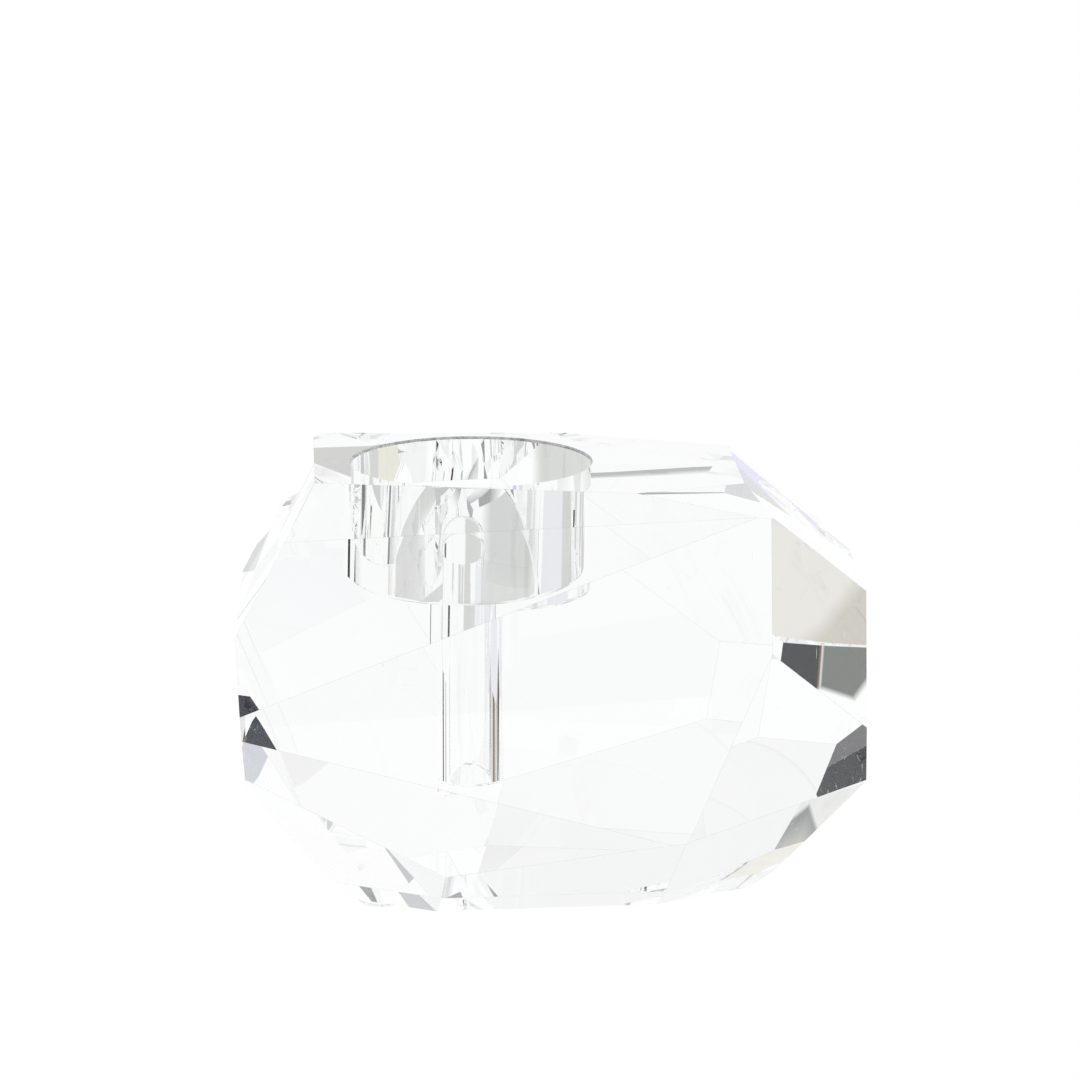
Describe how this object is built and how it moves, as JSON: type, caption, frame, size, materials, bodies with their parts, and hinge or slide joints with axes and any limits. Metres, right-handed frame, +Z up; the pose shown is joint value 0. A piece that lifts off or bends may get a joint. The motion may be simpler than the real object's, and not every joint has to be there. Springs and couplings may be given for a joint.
{
  "type": "glass candlestick",
  "caption": "Heavy faceted clear crystal block with a round tealight cup and a narrow stick-candle bore below it on one axis, standing on small clear pads.",
  "frame": {"origin": "on the surface it stands on, under the middle of the block's overall box", "axes": "+X along the block's length, from the candle's end to the solid end; +Y from the front to the back; +Z up, along the candle's axis"},
  "size_m": [0.1049, 0.0722, 0.0733],
  "materials": {
    "crystal": "clear, ground and polished, crisp facet edges",
    "clear_pad": "clear soft polyurethane, glossy"
  },
  "bodies": {
    "root": {"crystal_block": "crystal", "bumper_pad_front_left": "clear_pad", "bumper_pad_front_right": "clear_pad", "bumper_pad_back_left": "clear_pad", "bumper_pad_back_right": "clear_pad"}
  },
  "joints": []
}
